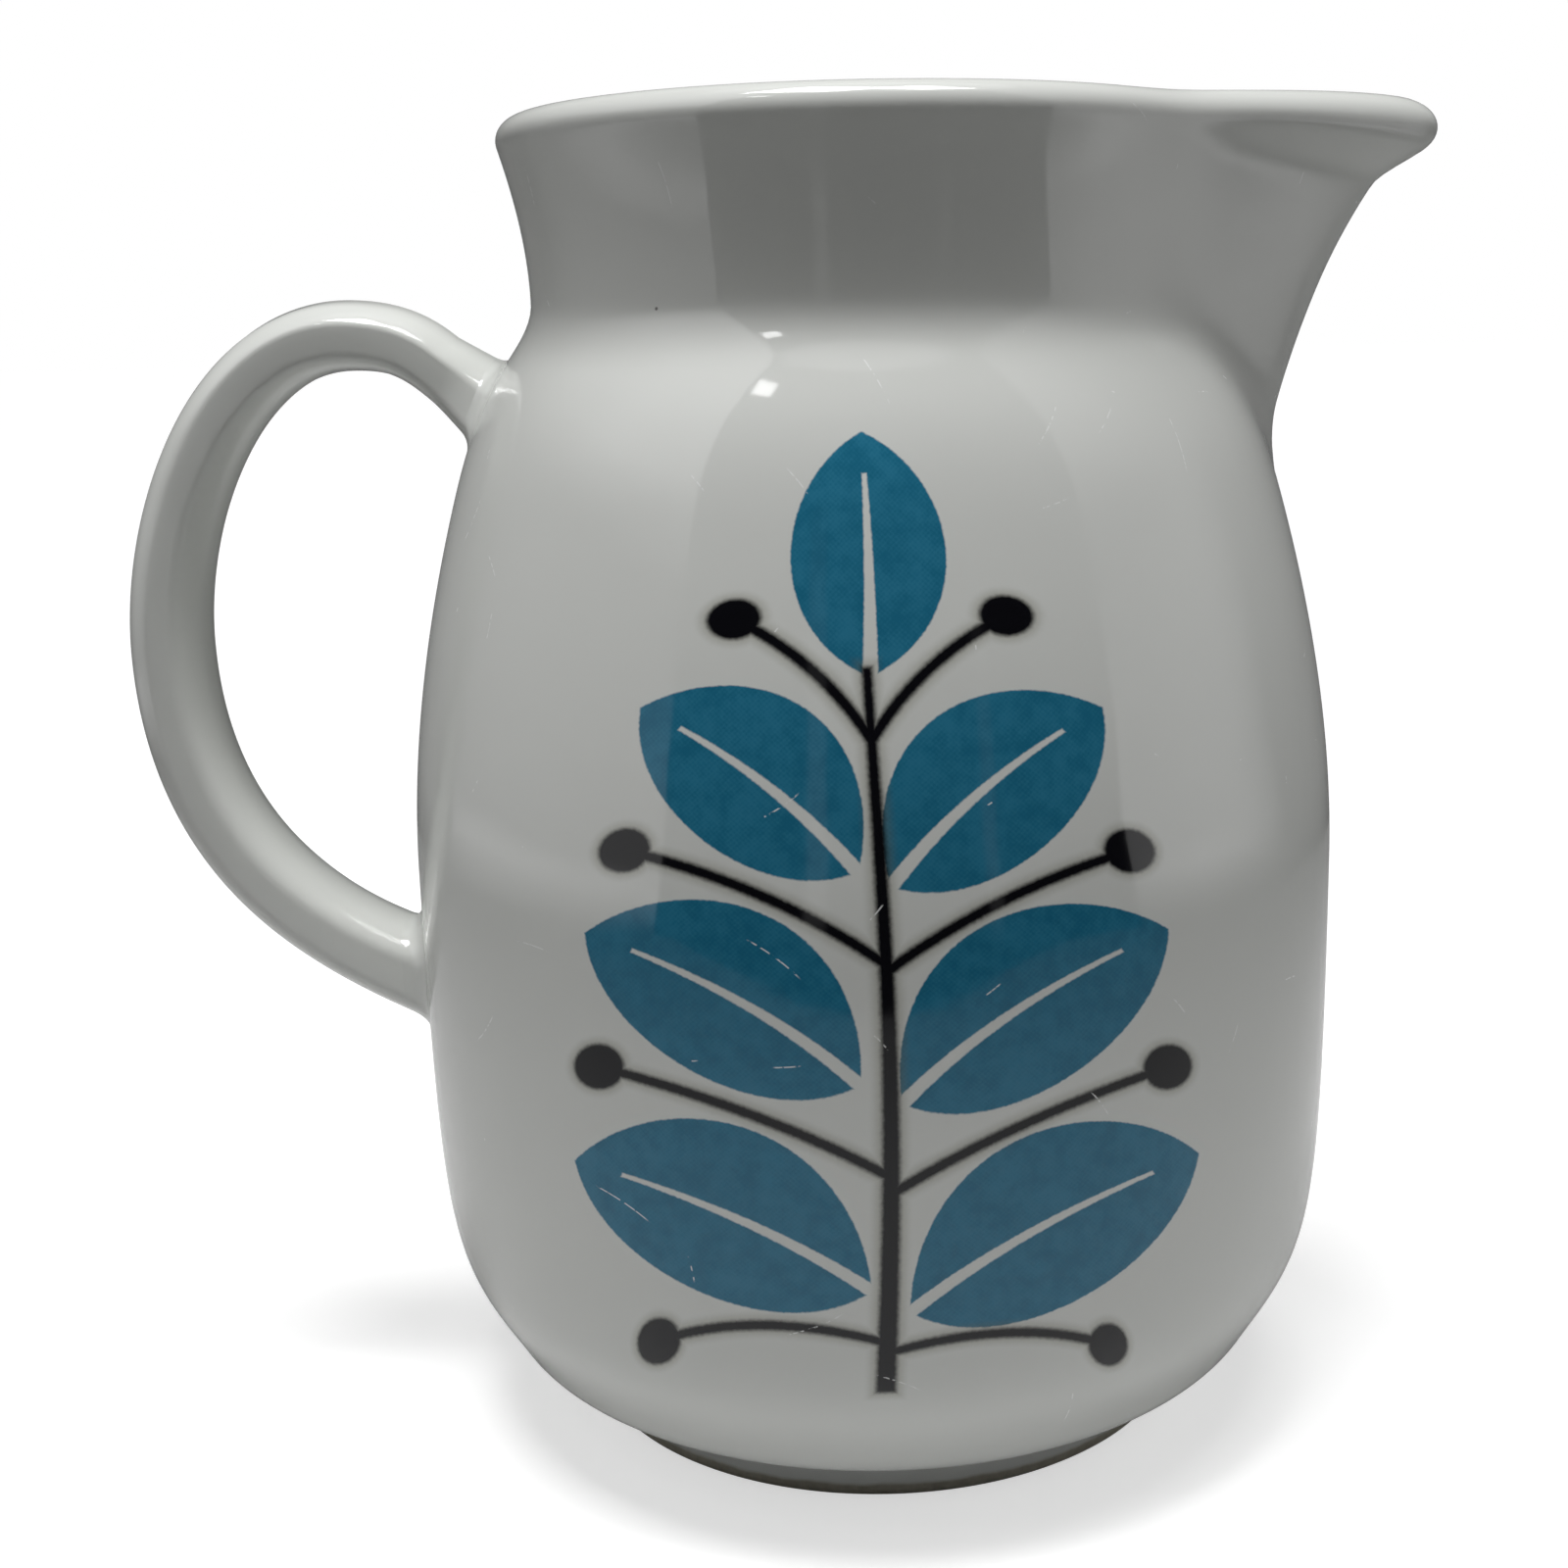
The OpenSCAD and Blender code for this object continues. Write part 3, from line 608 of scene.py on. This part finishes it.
def glaze_material(name, light, dark, skin_depth):
    """Clear glaze over plain white clay, between two close tones."""
    material, tree = new_material(name)
    spot = place(tree, "ShaderNodeTexCoord").outputs["Object"]
    skin = grouped(tree, glaze_skin, {"Vector": spot})
    colour = blend(tree, skin["Tone"], dark, light)
    colour = blend(tree, maths(tree, "MULTIPLY", skin["Speck"], 0.75), colour, iron_speck)
    gloss = maths(tree, "MULTIPLY_ADD", skin["Tone"], 0.03, 0.045)
    glaze_over(tree, colour, gloss, skin["Height"], skin_depth)
    return material


handle_loop.data.materials.append(glaze_material(
    "glazed_porcelain", porcelain_light, porcelain_dark, skin_depth))
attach(handle_loop, "root")
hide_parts("handle")

# The two seams of casting slip that lute the handle on. Each is wiped into a soft hollow collar from
# the handle onto the body, and the lower one is drawn up the belly as a thin tongue.
slip_light, slip_dark, slip_skin = (0.735, 0.748, 0.719, 1), (0.7, 0.715, 0.687, 1), 0.000014
shorter_below, tuck_in = 0.8, 0.0005


def root_collar(rings, up_reach, side_reach, handle_reach, edge, rows=14):
    """A collar round one root. Where a line along the handle's surface meets the body, a corner
    lies. A curve starts on the handle a reach away from that corner, is pulled towards it, and ends
    on the body a reach away, which differs above, beside and below the root. It is worked out as a
    turn round the body, a height and a distance from the wall, and ends that far, the edge, from
    the wall."""
    proud = np.hypot(rings[..., 0], rings[..., 1]) - on_body(rings[..., 2])
    strides = np.linalg.norm(np.diff(rings, axis=0), axis=2)
    walked = np.vstack([np.zeros(rings.shape[1]), np.cumsum(strides, 0)])
    pick = np.arange(rings.shape[1])

    def crossing(values):
        """Where values first pass zero along each line: the two rows beside it, and the share."""
        row = np.argmax(values > 0, 0)
        low, high = values[row - 1, pick], values[row, pick]
        return row, -low / (high - low)

    def between(array, row, share):
        """An array's values at that share of the way from the row before to the row."""
        share = share.reshape(-1, *[1] * (array.ndim - 2))
        return array[row - 1, pick] * (1 - share) + array[row, pick] * share

    first, share = crossing(proud)
    corner, at = between(rings, first, share), between(walked, first, share)
    start = between(rings, *crossing(walked - (at + handle_reach)))
    turn, z = np.arctan2(-corner[:, 1], -corner[:, 0]), corner[:, 2]
    r = np.hypot(corner[:, 0], corner[:, 1])
    aside, up = r * (turn - turn.mean()), z - z.mean()
    aside, up = aside / np.hypot(aside, up), up / np.hypot(aside, up)
    reach = side_reach + (up_reach - side_reach) * np.clip(up, 0, 1)**3
    reach = reach - shorter_below * side_reach * np.clip(-up, 0, 1)**2
    turns = [np.arctan2(-start[:, 1], -start[:, 0]), turn, turn + reach * aside / r]
    heights = [start[:, 2], z, z + reach * up]
    away = [np.hypot(start[:, 0], start[:, 1]) - on_body(start[:, 2]), 0 * z, 0 * z + edge]
    t = np.linspace(0, 1, rows)[:, None]
    turn, z, out = (
        a * (1 - t)**2 + b * 2 * t * (1 - t) + c * t**2 for a, b, c in (turns, heights, away))
    turn, z = (np.vstack([values, values[-1:]]) for values in (turn, z))
    out = np.vstack([out, out[-1:] - tuck_in])
    r = on_body(z) + out
    front = np.stack([-r * np.cos(turn), -r * np.sin(turn), z], -1)
    return np.vstack([front, rings[np.maximum(first - 1, 0), pick][None]])


# Each row: names, the lines along the handle, and the reaches up, sideways and onto the handle, then
# the edge. The upper collar is taken the other way round, so that its faces look outwards too.
for name, node, rings, reaches in (
        ("upper_root_slip", "upper_slip_seam", handle_rings(0, np.linspace(0, 0.9, 300)),
         (0.0010, 0.0028, 0.0015, -0.00002)),
        ("lower_root_slip", "lower_slip_seam", handle_rings(2, np.linspace(1, 0.45, 300)),
         (0.0092, 0.0030, 0.0030, 0.00006))):
    collar = root_collar(rings, *reaches)
    if node == "upper_slip_seam":
        collar = collar[:, ::-1]
    seam = surface(
        name, collar, ring=True, creases=(0, len(collar) - 3, len(collar) - 2, len(collar) - 1))
    seam.data.materials.append(glaze_material(name + "_glaze", slip_light, slip_dark, slip_skin))
    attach(seam, "root")
    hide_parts(node)

# The table: a wide white sheet of plain board that the jug stands on. Seen straight or mirrored in
# the glaze it is white, and it keeps the soft shadow of the jug.
half_side = 6
table_mesh = bpy.data.meshes.new("table")
table_mesh.from_pydata([
    (-half_side, -half_side, 0), (half_side, -half_side, 0),
    (half_side, half_side, 0), (-half_side, half_side, 0)], [], [(0, 1, 2, 3)])
table = bpy.data.objects.new("table", table_mesh)
bpy.context.scene.collection.objects.link(table)
table_white, tree = new_material("white_table_sheet")
path = place(tree, "ShaderNodeLightPath").outputs
mirrored = maths(tree, "MAXIMUM", path["Is Glossy Ray"], path["Is Transmission Ray"])
seen = maths(tree, "MAXIMUM", path["Is Camera Ray"], maths(tree, "MULTIPLY", mirrored, 0.1))
spot = place(tree, "ShaderNodeTexCoord").outputs["Object"]
away = place(tree, "ShaderNodeVectorMath", {0: spot}, operation="LENGTH").outputs["Value"]
glow = maths(tree, "MULTIPLY", seen, ramp(tree, away, 0.08, 0.24, 0.6, 1.0))
lit = ramp(tree, away, 0.08, 0.28, 0.6, 0.1)
lit = place(tree, "ShaderNodeCombineColor", {0: lit, 1: lit, 2: lit}).outputs[0]
sheet = place(tree, "ShaderNodeBsdfDiffuse", {"Color": lit})
lift = place(tree, "ShaderNodeEmission", {"Color": (1, 1, 1, 1), "Strength": glow})
both = place(tree, "ShaderNodeAddShader", {0: sheet.outputs[0], 1: lift.outputs[0]})
place(tree, "ShaderNodeOutputMaterial", {"Surface": both.outputs[0]})
table_mesh.materials.append(table_white)

# The studio round the table, seen only where the glaze mirrors it: a floor that starts where the
# table ends, and a wall. A dark field stands in front, bright ones on the left and right, and grey
# ones behind. Each row: plan angle from -Y towards +X, then the tones of the near floor, the middle
# floor, the far floor, the low wall and the high wall.
studio_tones = np.array([
    (-180, 0.1, 0.1, 0.1, 0.1, 0.1), (-128, 0.1, 0.2, 0.2, 0.1, 0.1),
    (-100, 0.3, 1.2, 0.7, 0.2, 0.8), (-80, 0.3, 1.6, 0.9, 0.2, 1.6),
    (-48.51, 0.2, 1.5, 0.9, 0.2, 2.0), (-48.5, 0.02, 0.02, 0.02, 0.02, 0.02),
    (-15.5, 0.02, 0.02, 0.02, 0.02, 0.02), (-14.5, 0.02, 0.5, 0.4, 0.2, 0.02),
    (-11, 0.02, 0.5, 0.4, 0.2, 0.02), (-10, 0.02, 0.02, 0.02, 0.02, 0.02),
    (24.5, 0.02, 0.02, 0.02, 0.02, 0.02), (25.5, 0.02, 0.3, 0.3, 0.1, 0.02),
    (27.5, 0.02, 0.3, 0.3, 0.1, 0.02), (28.5, 0.02, 0.02, 0.02, 0.02, 0.02),
    (59.5, 0.02, 0.02, 0.02, 0.02, 0.02), (59.51, 0.1, 1.2, 1.2, 0.3, 0.8),
    (80, 0.2, 1.8, 1.4, 0.5, 0.5), (95, 0.2, 1.2, 1.2, 0.6, 0.2),
    (112, 0.1, 0.2, 0.2, 0.2, 0.1), (180, 0.1, 0.1, 0.1, 0.1, 0.1)])
tone_rows = np.array([0, 0, 1, 1, 2, 2, 3, 4, 4])
near_edge, left_corner, right_corner, floor_radii = 0.205, 0.285, 0.27, (0.275, 0.42, 0.46, 0.6)
studio_floor_z, wall_r, wall_heights = 0.0008, 1.6, [0.6, 1.0, 3.4]


def studio_grid():
    """Rows outwards over the floor and up the wall, round all the plan angles, and their tones. The
    table's front edge is straight and turns back at a corner on each side."""
    deg = np.unique(np.concatenate([np.linspace(-180, 180, 241), studio_tones[:, 0]]))
    a = np.radians(deg)
    corner = np.where(deg < 0, left_corner, right_corner)
    edge = np.clip(near_edge / np.maximum(np.cos(a), 1e-3), near_edge, corner)
    r = np.stack([edge] + [np.maximum(edge, out) for out in floor_radii] + [0 * a + wall_r] * 4)
    z = np.array([studio_floor_z] * 6 + wall_heights)[:, None] + 0 * a
    tones = np.stack([np.interp(deg, studio_tones[:, 0], studio_tones[:, 1 + k]) for k in tone_rows])
    return np.stack([r * np.sin(a), -r * np.cos(a), z], -1), tones.ravel().astype(np.float32)


grid, tones = studio_grid()
studio_wall = surface("studio_wall", grid)
studio_wall.data.attributes.new("tone", "FLOAT", "POINT").data.foreach_set("value", tones)
wall_paint, tree = new_material("studio_wall_paint")
tone = place(tree, "ShaderNodeAttribute", attribute_name="tone").outputs["Fac"]
paint = place(tree, "ShaderNodeEmission", {"Color": (1, 1, 1, 1), "Strength": tone})
place(tree, "ShaderNodeOutputMaterial", {"Surface": paint.outputs[0]})
studio_wall.data.materials.append(wall_paint)
studio_wall.visible_camera = studio_wall.visible_shadow = studio_wall.visible_diffuse = False

# Light: two soft lamps overhead, a weak fill low on each side that the glaze doesn't mirror, and a
# small window-like lamp at the front left. The world is plain white wherever it is seen.
# Each row: plan angle from -Y towards +X, height angle, width and height, and watts.
lamp_away, lamp_aim_z = 1.3, 0.09
for name, deg, up_deg, size, power in (
        ("overhead_softbox", -45, 80, (0.46, 0.46), 15.0), ("second_softbox", 55, 77, (0.4, 0.4), 5.0),
        ("right_fill", 90, 25, (1.2, 1.0), 2.1), ("left_fill", -90, 25, (1.2, 1.0), 1.2),
        ("side_window", -41, 55, (0.11, 0.1), 0.4)):
    lamp = bpy.data.lights.new(name, "AREA")
    lamp.shape, lamp.size, lamp.size_y, lamp.energy = "RECTANGLE", size[0], size[1], power
    lamp_object = bpy.data.objects.new(name, lamp)
    a, e = np.radians(deg), np.radians(up_deg)
    towards = Vector((np.sin(a) * np.cos(e), -np.cos(a) * np.cos(e), np.sin(e)))
    lamp_object.location = Vector((0, 0, lamp_aim_z)) + lamp_away * towards
    lamp_object.rotation_euler = towards.to_track_quat("Z", "Y").to_euler()
    lamp_object.visible_camera = False
    lamp_object.visible_glossy = "fill" not in name
    bpy.context.scene.collection.objects.link(lamp_object)

studio = bpy.data.worlds.new("studio")
studio.use_nodes = True
tree = studio.node_tree
tree.nodes.clear()
path = place(tree, "ShaderNodeLightPath").outputs
mirrored = maths(tree, "MAXIMUM", path["Is Glossy Ray"], path["Is Transmission Ray"])
seen = maths(tree, "MAXIMUM", path["Is Camera Ray"], mirrored)
fill = place(tree, "ShaderNodeBackground", {"Color": (1, 1, 1, 1), "Strength": 0.03})
white = place(tree, "ShaderNodeBackground", {"Color": (1, 1, 1, 1), "Strength": 1.0})
mixed = place(tree, "ShaderNodeMixShader", {0: seen, 1: fill.outputs[0], 2: white.outputs[0]})
place(tree, "ShaderNodeOutputWorld", {"Surface": mixed.outputs[0]})
bpy.context.scene.world = studio

# The camera stands level with the neck, a hand's length away, tilted down by 12 degrees and leaning
# a little to one side.
stand, tilt, roll = (0.0, -0.2188, 0.1139), np.radians(12.0), np.radians(-1.21)
photo_px, focal_px, side_px, down_px, film_mm = 1600, 2139.2, -89.8, -24.2, 36.0
right, up = np.array([1, 0, 0]), np.array([0, np.sin(tilt), np.cos(tilt)])
back = np.array([0, -np.cos(tilt), np.sin(tilt)])
turned_right = right * np.cos(roll) + up * np.sin(roll)
turned_up = up * np.cos(roll) - right * np.sin(roll)
lens = bpy.data.cameras.new("camera")
lens.sensor_width, lens.lens = film_mm, film_mm * focal_px / photo_px
lens.shift_x, lens.shift_y = side_px / photo_px, down_px / photo_px
lens.clip_start = 0.01
camera = bpy.data.objects.new("camera", lens)
camera.matrix_world = Matrix(
    [[turned_right[i], turned_up[i], back[i], stand[i]] for i in range(3)] + [[0, 0, 0, 1]])
bpy.context.scene.collection.objects.link(camera)
bpy.context.scene.camera = camera
bpy.context.scene.view_settings.view_transform = "Standard"
